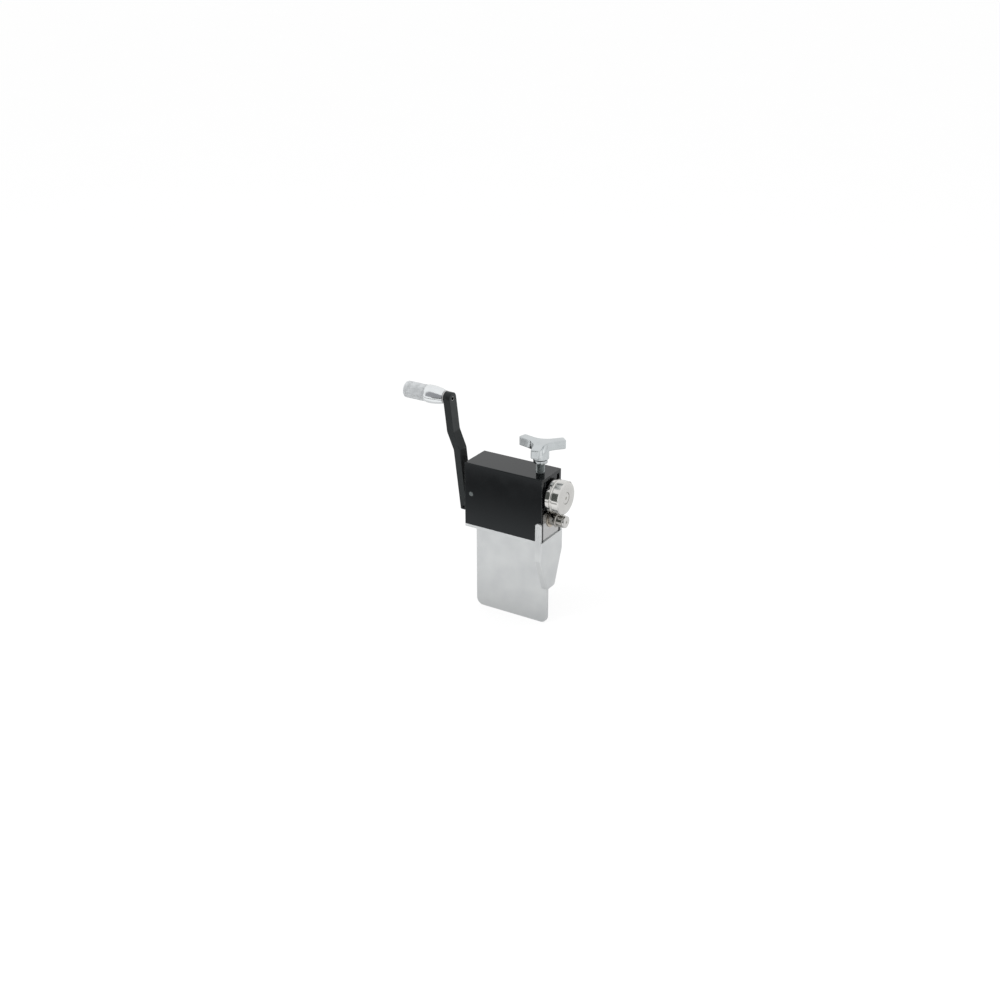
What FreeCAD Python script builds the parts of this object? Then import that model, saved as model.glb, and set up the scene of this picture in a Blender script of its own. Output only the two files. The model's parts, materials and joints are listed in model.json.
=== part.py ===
# Manual bead roller for tube ends, held by its tongue in a bench vise.
# X runs along the die axes towards the dies, Y towards the back, Z up, in millimetres.
# The origin is the middle of the tongue's bottom edge.
import FreeCAD, Part
import math
import os

V = FreeCAD.Vector

# Bracket
sheet = 4.0                    # thickness of every sheet of the bracket
tongue_height = 131.0
tongue_corner = 10.5           # radius of the two lower corners
tongue_end_gap = 1.25          # to the gusset's pressed face
jaw_height = 54.0              # lower zone of the tongue, which a vise grips
gusset_overhang = 2.0          # gusset's face beyond the end of the housing
gusset_depth = 9.4             # depth of the gusset's tray
gusset_height = 78.0
gusset_straight = 28.0         # upright stretch of the tray's sides
gusset_foot = 20.4             # width below the taper
gusset_corner = 5.0            # at the two ends of the foot
gusset_bend = 2.0              # outer radius of the pressed edge
tab_height = 28.5              # tabs that hug the housing
tab_setback = 1.5              # their edge behind the gusset's face

# Housing
housing_length = 121.5
housing_width = 50.8
wall = 4.8
housing_edge = 1.2             # outer edge radius

# Axes
lower_axis_height = 26.4       # above the base plate
die_opening = 3.2              # between the two dies at rest
pivot_over_edge = 7.0          # above the swing arm's underside
pivot_from_end = 9.8           # from the crank end of the housing
screw_from_end = 17.5          # from the die end of the housing
bead_from_end = 10.4           # bead line, beyond the die end of the housing

# Bearing blocks and bushings
block_length = 26.0
block_over_bore = 3.05         # metal above the bushing's bore
block_drop = 2.5               # the crank end's block is this much lower
block_corner = 4.0
block_chamfer = 0.8
bush_wall = 2.0
bush_flange_width = 1.75       # beyond the bushing's radius
bush_flange = 1.2

# Lower shaft and die
shaft_radius = 8.0
crank_spigot_radius = 5.5
die_spigot_radius = 5.0
lower_die_radius = 8.5
lower_die_length = 19.0
ridge_width = 3.0
ridge_height = 1.5
small_chamfer = 0.4            # on the lower die and on cap screws
cap_inset = 0.3                # cap screws are this much smaller than what they hold
lower_cap_thickness = 3.4
washer_radius = 11.5
washer_thickness = 1.5
collar_radius = 12.5

# Upper die and axle
upper_die_radius = 23.2
upper_die_width = 21.0
upper_die_gap = 1.85           # rear face from the end of the housing
upper_die_chamfer = 1.4
groove_width = 4.4
groove_depth = 2.2
axle_radius = 7.0
axle_depth = 30.0              # length pressed into the swing arm
axle_shoulder_radius = 10.0
upper_spigot_radius = 6.0
upper_bush_wall = 2.2
upper_cap_thickness = 2.3

# Swing arm
arm_side_gap = 4.6             # to the housing's side walls
arm_setback = 0.5              # its end face inside the end of the housing
arm_top_gap = 0.3              # it rests under the top wall
arm_tail_gap = 2.0             # above the crank end's block
arm_swing_room = 4.0           # above the die end's block
arm_tail = 7.5                 # beyond the pivot axis
arm_slope = 15.0               # cut corner above the pivot
arm_chamfer = 0.8
pivot_radius = 3.2

# Screw, nut, pad and knob
screw_radius = 6.0
screw_tip_radius = 4.0
nut_flats = 19.0
nut_height = 8.0
nut_over_pad = 2.1
well_gap = 2.0                 # round the nut, in the swing arm
well_over_axle = 2.7
pad_radius = 8.0
pad_thickness = 5.0
pad_crown_radius = 40.0
pad_socket = 2.5
knob_rise = 14.0               # underside of the hub above the housing
knob_height = 29.4
knob_hub_radius = 11.75
knob_arm_height = 12.4
knob_arm_width = 13.2
knob_reach = 34.0
knob_blend = 26.0
knob_first_arm = 48.0          # degrees from X
knob_edge = 1.4
knob_foot = 4.0                # collar below the hub
knob_foot_radius = 9.7
knob_cone = 2.2                # widens from the collar to the hub
knob_arms = 3
stud_in_knob = 21.0

# Return springs
spring_radius = 2.4            # to the middle of the wire
wire_radius = 0.4
spring_open_turns = 2          # between one closer turn at each end
spring_close_pitch = 1.3
spring_pocket_depth = 7.5
spring_pocket_wall = 1.0       # between the pocket and the bushing

# Crank
crank_gap = 9.8                # between the arm and the housing
crank_thickness = 10.8
crank_width = 17.0
crank_throw = 155.0            # from the shaft axis to the grip axis
crank_foot = 17.5              # below the shaft axis
crank_foot_corner = 3.5
crank_offset = 7.4             # the upper part stands this much further out
jog_start = 79.0               # above the shaft axis
jog_length = 27.0
jog_radius = 9.0
crank_chamfer = 0.7
crank_lean = 9.6               # degrees, at rest, top towards the front
slit_width = 2.0
clamp_over_foot = 6.0          # pinch screw above the foot

# Grip
spindle_radius = 5.0
spindle_thread_radius = 3.0
spindle_sink = 0.4             # its end below the arm's face
spindle_head_radius = 8.0
spindle_head = 4.5
spindle_inset = 1.6            # head below the grip's end
grip_washer_radius = 9.0
grip_washer_thickness = 1.5
grip_wall = 2.6                # round the well of the spindle's head
knurl_length = 34.0
barrel_swell = 1.0             # beyond the knurled part's radius
barrel_length = 28.0
barrel_shoulder = 4.0
barrel_taper = 22.7
barrel_taper_depth = 3.3
grip_edge = 1.6

# Screws
base_screw_radius = 3.0
base_screw_length = 14.0       # below the head, through the base plate
base_head_radius = 5.0
base_head = 3.4
base_screw_inset = 7.6         # from the housing's inner wall
side_screw_radius = 2.0
side_screw_length = 12.0
side_head_radius = 3.7
side_head = 2.2
side_screw_height = 14.0       # above the base plate
side_screw_pitch = 10.0
clamp_screw_radius = 2.0
clamp_head_radius = 3.5
clamp_head = 4.0
clamp_sink = 0.3               # its head below the arm's edge
clamp_end_wall = 2.0           # left at the far end of its bore
grub_radius = 2.0
cap_thread_radius = 3.0
cap_thread_length = 12.0
socket_flats = 4.0
small_socket_flats = 3.0
large_socket_flats = 6.0
socket_depth = 1.6
drill_extra = 1.0              # a tapped hole is this much deeper than its screw

# Clearances
running = 0.05                 # radial, between a shaft and its bore
end_play = 0.3                 # along a shaft
seat_gap = 0.1                 # between a block and the housing, and under the screw's tip
screw_clearance = 0.4          # round a screw's shank
head_clearance = 0.9           # round the head of the grip's spindle
tab_clearance = 0.6            # between a screw's head and the gusset's tab

# Levels and planes that the pieces share, upwards
floor = tongue_height + sheet
lower_z = floor + lower_axis_height
upper_z = lower_z + lower_die_radius + die_opening + upper_die_radius
bush_radius = shaft_radius + running + bush_wall
block_top = lower_z + bush_radius + block_over_bore
crank_block_top = block_top - block_drop
arm_under = crank_block_top + arm_tail_gap
arm_step_under = block_top + arm_swing_room
pivot_z = arm_under + pivot_over_edge
well_floor = upper_z + axle_radius + well_over_axle
pad_bottom = well_floor + seat_gap
pad_top = pad_bottom + pad_thickness
socket_floor = pad_top - pad_socket
tip_end = socket_floor + seat_gap
ceiling = pad_top + nut_over_pad + nut_height
arm_top = ceiling - arm_top_gap
roof = ceiling + wall
hub_bottom = roof + knob_rise
knob_top = hub_bottom + knob_height
grip_z = lower_z + crank_throw

# The same across
half_width = housing_width / 2
inner_half = half_width - wall
arm_half = inner_half - arm_side_gap
base_screw_y = inner_half - base_screw_inset
well_radius = nut_flats / math.sqrt(3) + well_gap
spring_pocket_radius = spring_radius + wire_radius + screw_clearance
spring_pocket_floor = block_top - spring_pocket_depth
spring_y = spring_pocket_radius + math.sqrt((bush_radius + spring_pocket_wall) ** 2
                                            - (spring_pocket_floor - lower_z) ** 2)

# The same along the housing, from the crank to the dies
die_end = housing_length / 2
crank_end = -housing_length / 2
washer_face = crank_end - bush_flange - end_play
collar_face = washer_face - washer_thickness
crank_inner = crank_end - crank_gap
crank_outer = crank_inner - crank_thickness
crank_upper_inner = crank_inner - crank_offset
crank_upper_outer = crank_outer - crank_offset
grip_inner = crank_upper_outer - grip_washer_thickness - end_play
grip_outer = grip_inner - knurl_length - barrel_length
spindle_well_radius = spindle_head_radius + head_clearance
knurl_radius = spindle_well_radius + grip_wall
barrel_radius = knurl_radius + barrel_swell
pivot_x = crank_end + pivot_from_end
block_middle = die_end - block_length / 2
screw_x = die_end - screw_from_end
gusset_face = die_end + gusset_overhang
gusset_back = gusset_face - sheet
side_screw_x = gusset_face - gusset_depth - side_head_radius - tab_clearance
arm_end = die_end - arm_setback
bead_x = die_end + bead_from_end
lower_die_back = die_end + bush_flange + end_play
lower_die_front = lower_die_back + lower_die_length
upper_die_back = die_end + upper_die_gap
upper_die_front = upper_die_back + upper_die_width
upper_face = upper_die_front - upper_cap_thickness - end_play
upper_bush_radius = upper_spigot_radius + running + upper_bush_wall


def box(x0, x1, y0, y1, z0, z1):
    return Part.makeBox(x1 - x0, y1 - y0, z1 - z0, V(x0, y0, z0))


def rod_x(radius, x0, x1, y, z):
    return Part.makeCylinder(radius, x1 - x0, V(x0, y, z), V(1, 0, 0))


def rod_y(radius, y0, y1, x, z):
    return Part.makeCylinder(radius, y1 - y0, V(x, y0, z), V(0, 1, 0))


def rod_z(radius, z0, z1, x, y):
    return Part.makeCylinder(radius, z1 - z0, V(x, y, z0), V(0, 0, 1))


def prism_y(points, y0, y1):
    """Outline of (x, z) points, extruded from y0 to y1."""
    wire = Part.makePolygon([V(x, y0, z) for x, z in points + points[:1]])
    return Part.Face(wire).extrude(V(0, y1 - y0, 0))


def turned_x(outline, y, z):
    """Closed outline of edges in the XZ plane, turned about the X line through (y, z)."""
    face = Part.Face(Part.Wire(outline))
    return face.revolve(V(0, 0, 0), V(1, 0, 0), 360).translated(V(0, y, z))


def chain(points):
    """Straight edges through (x, r) points, closed."""
    ends = [V(x, 0, r) for x, r in points]
    return [Part.makeLine(a, b) for a, b in zip(ends, ends[1:] + ends[:1])]


def hexagon(flats, depth, start, direction):
    """Hexagonal prism that goes from a point along a direction."""
    radius = flats / math.sqrt(3)
    corners = [V(radius * math.cos(a), radius * math.sin(a), 0)
               for a in (math.radians(60 * i) for i in range(7))]
    solid = Part.Face(Part.makePolygon(corners)).extrude(V(0, 0, depth))
    turn = FreeCAD.Rotation(V(0, 0, 1), direction)
    solid.rotate(V(0, 0, 0), turn.Axis, math.degrees(turn.Angle))
    return solid.translated(start)


def lean(shape):
    """The crank's rest angle about the lower axis."""
    shape.rotate(V(0, 0, lower_z), V(1, 0, 0), crank_lean)
    return shape


def edges_at(shape, test):
    """Edges whose every end and middle point passes the test."""
    found = []
    for edge in shape.Edges:
        first, last = edge.ParameterRange
        points = [edge.valueAt(p) for p in (first, (first + last) / 2, last)]
        if all(test(p) for p in points):
            found.append(edge)
    return found


def near(a, b):
    return abs(a - b) < 1e-4


# Bracket

def make_vise_tongue():
    """Plate with its jaw zone as faces of their own, below the gusset."""
    half = gusset_back - tongue_end_gap
    jaw_zone = box(-half, half, -sheet / 2, sheet / 2, 0, jaw_height)
    plate = jaw_zone.fuse(box(-half, half, -sheet / 2, sheet / 2, jaw_height, tongue_height))
    corners = edges_at(plate, lambda p: near(abs(p.x), half) and near(p.z, 0))
    return plate.makeFillet(tongue_corner, corners)


def base_screw_places():
    return [(x, y) for x in (-block_middle, block_middle) for y in (-base_screw_y, base_screw_y)]


def make_base_plate():
    plate = box(crank_end, gusset_back, -half_width, half_width, tongue_height, floor)
    for x, y in base_screw_places():
        plate = plate.cut(rod_z(base_screw_radius + screw_clearance, tongue_height, floor, x, y))
    return plate


def gusset_blank(top, inset):
    """Prism as deep as the tray: the gusset's outline up to a height, all of it drawn in by an inset."""
    foot = floor - gusset_height
    right = [(half_width + sheet, top), (half_width + sheet, floor - gusset_straight),
             (gusset_foot / 2, foot)]
    left = [(-y, z) for y, z in reversed(right)]
    outline = Part.makePolygon([V(gusset_face, y, z) for y, z in right + left + right[:1]])
    if inset > 0:
        outline = outline.makeOffset2D(-inset)
    blank = Part.Face(outline).extrude(V(-gusset_depth, 0, 0))
    ends = edges_at(blank, lambda p: near(p.z, foot + inset) and not near(p.y, 0))
    return blank.makeFillet(gusset_corner - inset, ends)


def make_end_gusset():
    """Pressed tray with its mouth up, slotted for the tongue, and a tab on each side."""
    tray = gusset_blank(floor, 0)
    rim = edges_at(tray, lambda p: near(p.x, gusset_face))
    pressed = [edge for edge in rim if not near(edge.BoundBox.ZMin, floor)]
    tray = tray.makeFillet(gusset_bend, pressed)
    tray = tray.cut(gusset_blank(floor + 2 * sheet, sheet).translated(V(-sheet, 0, 0)))
    back = gusset_face - gusset_depth
    tray = tray.cut(box(back, gusset_back, -sheet / 2, sheet / 2, 0, floor))
    radius = (gusset_depth - tab_setback) / 2
    for y in (-half_width - sheet, half_width):
        tab = box(back, back + 2 * radius, y, y + sheet, floor, floor + tab_height - radius)
        tab = tab.fuse(rod_y(radius, y, y + sheet, back + radius, floor + tab_height - radius))
        tray = tray.fuse(tab)
    return tray.removeSplitter()


# Housing and bearings

def side_screw_places():
    """Screws through the rear wall, two in each block, clear of the gusset's tab."""
    return [(side * (side_screw_x - step), floor + side_screw_height)
            for side in (-1, 1) for step in (0, side_screw_pitch)]


def make_housing():
    shell = box(crank_end, die_end, -half_width, half_width, floor, roof)
    long_edges = edges_at(shell, lambda p: near(p.z, roof) and near(abs(p.y), half_width))
    shell = shell.makeFillet(housing_edge, long_edges)
    shell = shell.cut(box(crank_end, die_end, -inner_half, inner_half, floor, ceiling))
    shell = shell.cut(rod_z(screw_radius + screw_clearance, ceiling, roof, screw_x, 0))
    shell = shell.cut(rod_y(pivot_radius, -half_width, half_width, pivot_x, pivot_z))
    for x, z in side_screw_places():
        hole = rod_y(side_screw_radius + screw_clearance, inner_half, half_width, x, z)
        shell = shell.cut(hole)
    return shell


def bearing_block(side, top):
    """Block at one end, side -1 or 1. Its screws come from below and through the rear wall."""
    outer = side * die_end
    inner = side * (die_end - block_length)
    low, high = sorted((outer, inner))
    half = inner_half - seat_gap
    block = box(low, high, -half, half, floor, top)
    upper = edges_at(block, lambda p: near(p.z, top) and near(abs(p.y), half))
    block = block.makeFillet(block_corner, upper)
    foot = edges_at(block, lambda p: near(p.z, floor) and near(p.x, outer))
    block = block.makeChamfer(block_chamfer, foot)
    block = block.cut(rod_x(bush_radius, low, high, 0, lower_z))
    drilled = floor + base_screw_length - sheet + drill_extra
    for x, y in base_screw_places():
        if x * side > 0:
            block = block.cut(rod_z(base_screw_radius, floor, drilled, x, y))
    bottom = half_width - side_screw_length - drill_extra
    for x, z in side_screw_places():
        if x * side > 0:
            block = block.cut(rod_y(side_screw_radius, bottom, half, x, z))
    return block


def make_crank_end_block():
    return bearing_block(-1, crank_block_top)


def make_die_end_block():
    block = bearing_block(1, block_top)
    for y in (-spring_y, spring_y):
        pocket = rod_z(spring_pocket_radius, spring_pocket_floor, block_top, block_middle, y)
        block = block.cut(pocket)
    return block


def flanged_bushing(side):
    """Bushing from the block's inner face to its flange outside the housing."""
    inner = side * (die_end - block_length)
    outer = side * die_end
    face = side * (die_end + bush_flange)
    bore = shaft_radius + running
    flange = bush_radius + bush_flange_width
    outline = chain([(inner, bore), (inner, bush_radius), (outer, bush_radius), (outer, flange),
                     (face, flange), (face, bore)])
    return turned_x(outline, 0, lower_z)


# Drive shaft and lower die

def make_drive_shaft():
    shoulder = lower_die_back - seat_gap
    spigot_end = lower_die_front - seat_gap
    bore_end = crank_inner + seat_gap
    c = block_chamfer
    outline = chain([(crank_outer, 0), (crank_outer, crank_spigot_radius - c),
                     (crank_outer + c, crank_spigot_radius), (bore_end, crank_spigot_radius),
                     (bore_end, shaft_radius), (shoulder, shaft_radius),
                     (shoulder, die_spigot_radius), (spigot_end, die_spigot_radius),
                     (spigot_end, 0)])
    shaft = turned_x(outline, 0, lower_z)
    drilled = lower_die_front - cap_thread_length - drill_extra
    return shaft.cut(rod_x(cap_thread_radius, drilled, spigot_end, 0, lower_z))


def die(back, front, radius, bore, chamfer, half_bead, bead_radius, z):
    """Turned die with a round bead line, raised or sunk to bead_radius."""
    left = V(bead_x - half_bead, 0, radius)
    right = V(bead_x + half_bead, 0, radius)
    points = [right, V(front - chamfer, 0, radius), V(front, 0, radius - chamfer),
              V(front, 0, bore), V(back, 0, bore), V(back, 0, radius - chamfer),
              V(back + chamfer, 0, radius), left]
    edges = [Part.makeLine(a, b) for a, b in zip(points, points[1:])]
    edges.append(Part.Arc(left, V(bead_x, 0, bead_radius), right).toShape())
    return turned_x(edges, 0, z)


def make_lower_die():
    return die(lower_die_back, lower_die_front, lower_die_radius, die_spigot_radius,
               small_chamfer, ridge_width / 2, lower_die_radius + ridge_height, lower_z)


def cap_screw(face, radius, thickness, z):
    """Low-head screw whose head lies beyond the x plane of the face."""
    end = face + thickness
    c = small_chamfer
    outline = chain([(face - cap_thread_length, 0), (face - cap_thread_length, cap_thread_radius),
                     (face, cap_thread_radius), (face, radius), (end - c, radius),
                     (end, radius - c), (end, 0)])
    screw = turned_x(outline, 0, z)
    return screw.cut(hexagon(socket_flats, socket_depth, V(end, 0, z), V(-1, 0, 0)))


def make_lower_die_screw():
    return cap_screw(lower_die_front, lower_die_radius - cap_inset, lower_cap_thickness, lower_z)


def ring_x(inner, outer, x0, x1, z):
    return rod_x(outer, x0, x1, 0, z).cut(rod_x(inner, x0, x1, 0, z))


def make_thrust_washer():
    return ring_x(shaft_radius + running, washer_radius, collar_face, washer_face, lower_z)


def make_shaft_collar():
    outer = crank_inner + seat_gap
    collar = ring_x(shaft_radius, collar_radius, outer, collar_face, lower_z)
    hole = rod_z(grub_radius, lower_z, lower_z + collar_radius, (outer + collar_face) / 2, 0)
    return lean(collar.cut(hole))


def make_collar_screw():
    x = (crank_inner + seat_gap + collar_face) / 2
    top = lower_z + collar_radius - seat_gap
    screw = rod_z(grub_radius, lower_z + shaft_radius, top, x, 0)
    return lean(screw.cut(hexagon(grub_radius, socket_depth, V(x, 0, top), V(0, 0, -1))))


# Crank and grip

def make_crank_arm():
    """Flat bar with two bends, a full-round top and a foot split for its pinch screw."""
    half = crank_width / 2
    foot = lower_z - crank_foot
    bend = lower_z + jog_start
    end = bend + jog_length
    top = grip_z + half
    side = [(crank_outer, foot), (crank_inner, foot), (crank_inner, bend),
            (crank_upper_inner, end), (crank_upper_inner, top), (crank_upper_outer, top),
            (crank_upper_outer, end), (crank_outer, bend)]
    bar = prism_y(side, -half, half)
    bar = bar.makeFillet(jog_radius, edges_at(bar, lambda p: near(p.z, bend) or near(p.z, end)))
    front = box(crank_upper_outer, crank_inner, -half, half, foot, grip_z)
    corners = edges_at(front, lambda p: near(p.z, foot) and near(abs(p.y), half))
    front = front.makeFillet(crank_foot_corner, corners)
    front = front.fuse(rod_x(half, crank_upper_outer, crank_inner, 0, grip_z))
    bar = bar.common(front.removeSplitter())
    planes = (crank_outer, crank_inner, crank_upper_outer, crank_upper_inner)
    rims = [edge for edge in edges_at(bar, lambda p: any(near(p.x, x) for x in planes))
            if not bend - jog_radius < edge.CenterOfMass.z < end + jog_radius]
    bar = bar.makeChamfer(crank_chamfer, rims)
    bar = bar.cut(rod_x(crank_spigot_radius, crank_outer, crank_inner, 0, lower_z))
    bar = bar.cut(box(crank_outer, crank_inner, -slit_width / 2, slit_width / 2, foot, lower_z))
    bar = bar.cut(rod_x(spindle_thread_radius, crank_upper_outer, crank_upper_inner, 0, grip_z))
    x = (crank_outer + crank_inner) / 2
    z = foot + clamp_over_foot
    seat = clamp_head + clamp_sink - half
    bar = bar.cut(rod_y(clamp_head_radius + running, -half, seat, x, z))
    bar = bar.cut(rod_y(clamp_screw_radius, seat, half - clamp_end_wall, x, z))
    return lean(bar)


def make_crank_clamp_screw():
    half = crank_width / 2
    x = (crank_outer + crank_inner) / 2
    z = lower_z - crank_foot + clamp_over_foot
    top = clamp_sink - half
    screw = rod_y(clamp_head_radius, top, top + clamp_head, x, z)
    shank = rod_y(clamp_screw_radius, top + clamp_head, half - clamp_end_wall - drill_extra, x, z)
    screw = screw.fuse(shank).removeSplitter()
    return lean(screw.cut(hexagon(small_socket_flats, socket_depth, V(x, top, z), V(0, 1, 0))))


def make_grip_spindle():
    head_outer = grip_outer + spindle_inset
    head_inner = head_outer + spindle_head
    tip = crank_upper_inner - spindle_sink
    c = crank_chamfer
    outline = chain([(head_outer, 0), (head_outer, spindle_head_radius - c),
                     (head_outer + c, spindle_head_radius), (head_inner, spindle_head_radius),
                     (head_inner, spindle_radius), (crank_upper_outer, spindle_radius),
                     (crank_upper_outer, spindle_thread_radius),
                     (tip - c, spindle_thread_radius), (tip, spindle_thread_radius - c),
                     (tip, 0)])
    spindle = turned_x(outline, 0, grip_z)
    socket = hexagon(large_socket_flats, socket_depth, V(head_outer, 0, grip_z), V(1, 0, 0))
    return lean(spindle.cut(socket))


def make_grip_washer():
    outer = crank_upper_outer - grip_washer_thickness
    return lean(ring_x(spindle_radius + running, grip_washer_radius, outer, crank_upper_outer,
                       grip_z))


def make_grip_sleeve():
    """Turned sleeve: knurled cylinder, step, polished barrel and rounded neck."""
    well_end = grip_outer + spindle_inset + spindle_head + end_play
    step = grip_outer + knurl_length
    taper = grip_inner - barrel_taper
    bore = spindle_radius + running
    neck_radius = barrel_radius - barrel_taper_depth
    points = [V(grip_outer, 0, spindle_well_radius), V(grip_outer, 0, knurl_radius - grip_edge),
              V(grip_outer + grip_edge, 0, knurl_radius), V(step, 0, knurl_radius),
              V(step + barrel_swell / 2, 0, barrel_radius - barrel_swell / 2),
              V(step + barrel_shoulder, 0, barrel_radius), V(taper, 0, barrel_radius)]
    neck = [V(grip_inner, 0, neck_radius), V(grip_inner, 0, bore), V(well_end, 0, bore),
            V(well_end, 0, spindle_well_radius), points[0]]
    edges = [Part.makeLine(a, b) for a, b in zip(points, points[1:])]
    drop = barrel_taper_depth
    sag = (barrel_taper ** 2 + drop ** 2) / (2 * drop)
    half_angle = math.asin(barrel_taper / sag) / 2
    crown = V(taper + sag * math.sin(half_angle), 0,
              barrel_radius - sag * (1 - math.cos(half_angle)))
    edges.append(Part.Arc(points[-1], crown, neck[0]).toShape())
    edges += [Part.makeLine(a, b) for a, b in zip(neck, neck[1:])]
    return lean(turned_x(edges, 0, grip_z))


# Swing arm and upper die

def make_swing_arm():
    """Bar with a lowered tail, a pivot bore, a bore for the axle and a well for pad and nut."""
    tail = pivot_x - arm_tail
    rise = arm_step_under - arm_under
    step = die_end - block_length - rise
    side = [(tail, arm_under), (step - rise, arm_under), (step, arm_step_under),
            (arm_end, arm_step_under), (arm_end, arm_top), (tail + arm_slope, arm_top),
            (tail, arm_top - arm_slope)]
    bar = prism_y(side, -arm_half, arm_half)
    rims = edges_at(bar, lambda p: near(abs(p.y), arm_half) and
                    (near(p.z, arm_top) or near(p.x, arm_end)))
    bar = bar.makeChamfer(arm_chamfer, rims)
    bar = bar.cut(rod_y(pivot_radius + running, -arm_half, arm_half, pivot_x, pivot_z))
    bar = bar.cut(rod_x(axle_radius, arm_end - axle_depth, arm_end, 0, upper_z))
    return bar.cut(rod_z(well_radius, well_floor, arm_top, screw_x, 0))


def make_pivot_pin():
    return rod_y(pivot_radius, -half_width, half_width, pivot_x, pivot_z)


def make_upper_axle():
    tail = arm_end - axle_depth
    shoulder = upper_die_back - end_play
    outline = chain([(tail, 0), (tail, axle_radius), (arm_end, axle_radius),
                     (arm_end, axle_shoulder_radius), (shoulder, axle_shoulder_radius),
                     (shoulder, upper_spigot_radius), (upper_face, upper_spigot_radius),
                     (upper_face, 0)])
    axle = turned_x(outline, 0, upper_z)
    drilled = upper_face - cap_thread_length - drill_extra
    return axle.cut(rod_x(cap_thread_radius, drilled, upper_face, 0, upper_z))


def make_upper_die_bushing():
    return ring_x(upper_spigot_radius + running, upper_bush_radius, upper_die_back,
                  upper_face - end_play, upper_z)


def make_upper_die():
    return die(upper_die_back, upper_die_front, upper_die_radius, upper_bush_radius,
               upper_die_chamfer, groove_width / 2, upper_die_radius - groove_depth, upper_z)


def make_upper_die_screw():
    return cap_screw(upper_face, upper_bush_radius - cap_inset, upper_cap_thickness, upper_z)


# Screw, pad and knob

def make_screw_nut():
    nut = hexagon(nut_flats, nut_height, V(screw_x, 0, ceiling), V(0, 0, -1))
    return nut.cut(rod_z(screw_radius + running, ceiling - nut_height, ceiling, screw_x, 0))


def make_adjusting_screw():
    neck = pad_top + end_play
    shank = rod_z(screw_radius, neck, hub_bottom + stud_in_knob, screw_x, 0)
    return shank.fuse(rod_z(screw_tip_radius, tip_end, neck, screw_x, 0))


def make_thrust_pad():
    """Round pad, crowned below and with a socket for the screw's tip above."""
    pad = rod_z(pad_radius, pad_bottom, pad_top, screw_x, 0)
    crown = Part.makeSphere(pad_crown_radius, V(screw_x, 0, pad_bottom + pad_crown_radius))
    socket = rod_z(screw_tip_radius + running, socket_floor, pad_top, screw_x, 0)
    return pad.common(crown).cut(socket)


def make_knob():
    """Arms round a hub, blended into each other, with the stud's blind bore below."""
    base = knob_top - knob_arm_height
    half = knob_arm_width / 2
    star = None
    for i in range(knob_arms):
        arm = box(0, knob_reach, -half, half, base, knob_top)
        arm.rotate(V(0, 0, 0), V(0, 0, 1), knob_first_arm + i * 360 / knob_arms)
        star = arm if star is None else star.fuse(arm)
    star = star.removeSplitter()
    star = star.makeFillet(knob_blend, upright_edges(star, 0, knob_reach / 2))
    star = star.makeFillet(2 * knob_edge, upright_edges(star, knob_reach - knob_edge, 2 * knob_reach))
    rims = [edge for edge in star.Edges if near(edge.BoundBox.ZLength, 0)]
    star = star.makeFillet(knob_edge, rims)
    collar_top = hub_bottom + knob_foot
    cone_top = collar_top + knob_cone
    hub = rod_z(knob_hub_radius, cone_top, knob_top - knob_edge, 0, 0)
    hub = hub.fuse(Part.makeCone(knob_foot_radius, knob_hub_radius, knob_cone, V(0, 0, collar_top)))
    hub = hub.fuse(rod_z(knob_foot_radius, hub_bottom, collar_top, 0, 0))
    knob = star.fuse(hub).removeSplitter()
    knob = knob.cut(rod_z(screw_radius, hub_bottom, hub_bottom + stud_in_knob, 0, 0))
    return knob.translated(V(screw_x, 0, 0))


def upright_edges(shape, nearest, farthest):
    """Full-height edges of the knob's arms whose distance from the axis lies in a range."""
    found = []
    for edge in shape.Edges:
        middle = edge.CenterOfMass
        if near(edge.BoundBox.ZLength, knob_arm_height):
            if nearest < math.hypot(middle.x, middle.y) < farthest:
                found.append(edge)
    return found


# Return springs

def biarc(start, start_dir, end, end_dir):
    """Two arcs that leave and arrive in the given directions and meet without a kink."""
    span = end - start
    both = start_dir + end_dir
    k = 4 - both.dot(both)
    reach = (math.sqrt(span.dot(both) ** 2 + k * span.dot(span)) - span.dot(both)) / k
    first = start + start_dir * reach
    second = end - end_dir * reach
    join = (first + second) * 0.5
    return [arc_by_corner(start, first, join), arc_by_corner(join, second, end)]


def arc_by_corner(start, corner, end):
    """Arc tangent to both legs of an even corner."""
    half = (end - start) * 0.5
    inward = start + half - corner
    leg = (corner - start).Length
    middle = corner + inward * (leg * (leg - half.Length) / inward.Length ** 2)
    return Part.Arc(start, middle, end).toShape()


def spring_marks(height):
    """Rise above the foot at each half turn, with one closer turn at each end."""
    open_rise = (height - 2 * spring_close_pitch) / (2 * spring_open_turns)
    close_rise = spring_close_pitch / 2
    marks = [0.0]
    for rise in 2 * [close_rise] + 2 * spring_open_turns * [open_rise] + 2 * [close_rise]:
        marks.append(marks[-1] + rise)
    return marks


def make_return_spring(y):
    bottom = spring_pocket_floor + wire_radius + seat_gap / 2
    marks = spring_marks(arm_step_under - seat_gap / 2 - wire_radius - bottom)
    last = len(marks) - 1
    points = []
    slopes = []
    for i, rise in enumerate(marks):
        side = 1 if i % 2 == 0 else -1
        before = marks[max(i - 1, 0)]
        after = marks[min(i + 1, last)]
        climb = (after - before) / (min(i + 1, last) - max(i - 1, 0))
        points.append(V(block_middle + side * spring_radius, y, bottom + rise))
        slopes.append(V(0, side * math.pi * spring_radius, climb).normalize())
    arcs = []
    for i in range(last):
        arcs += biarc(points[i], slopes[i], points[i + 1], slopes[i + 1])
    ring = Part.Wire(Part.makeCircle(wire_radius, points[0], slopes[0]))
    sweep = Part.BRepOffsetAPI.MakePipeShell(Part.Wire(arcs))
    sweep.add(ring)
    sweep.build()
    sweep.makeSolid()
    return sweep.shape()


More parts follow.
